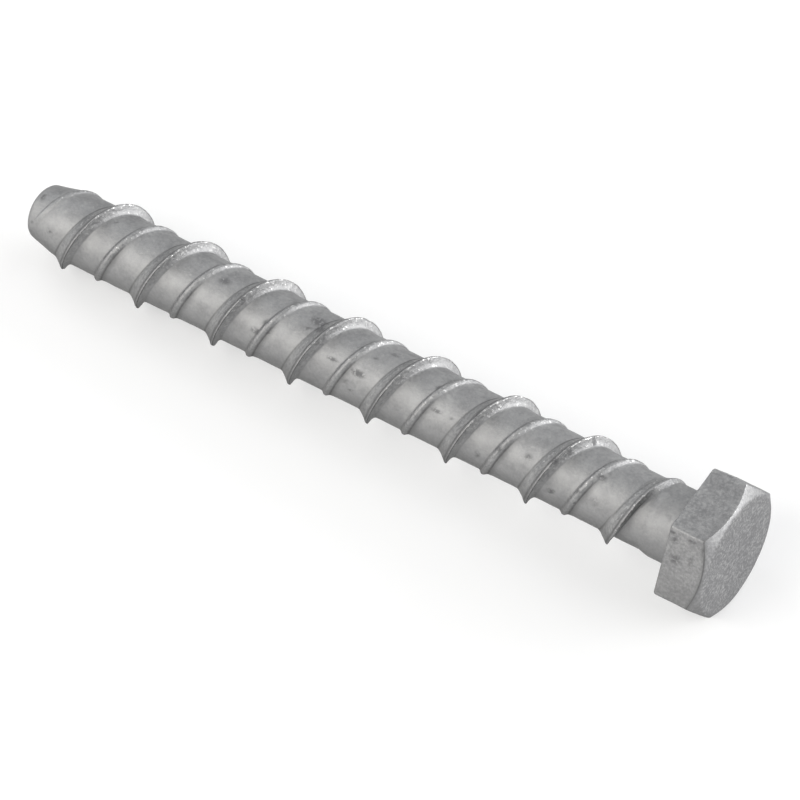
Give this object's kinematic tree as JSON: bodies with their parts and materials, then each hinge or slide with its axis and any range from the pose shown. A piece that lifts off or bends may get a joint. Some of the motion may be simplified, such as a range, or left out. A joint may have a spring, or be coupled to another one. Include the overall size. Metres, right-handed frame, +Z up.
{
  "type": "concrete screw",
  "caption": "Hexagon-head concrete screw with a tall sloping thread and a low second thread on a blunt tapered shank, driven straight into a drilled hole.",
  "frame": {"origin": "on the surface the screw lies on, under the middle of its outline", "axes": "+X along the screw from the tip to the head, +Z up from the surface it lies on"},
  "size_m": [0.1062, 0.0196, 0.0172],
  "materials": {
    "zinc_coated_steel": "satin grey zinc with a fine cast grain and a few dark pits"
  },
  "bodies": {
    "root": {"concrete_screw": "zinc_coated_steel"}
  },
  "joints": []
}
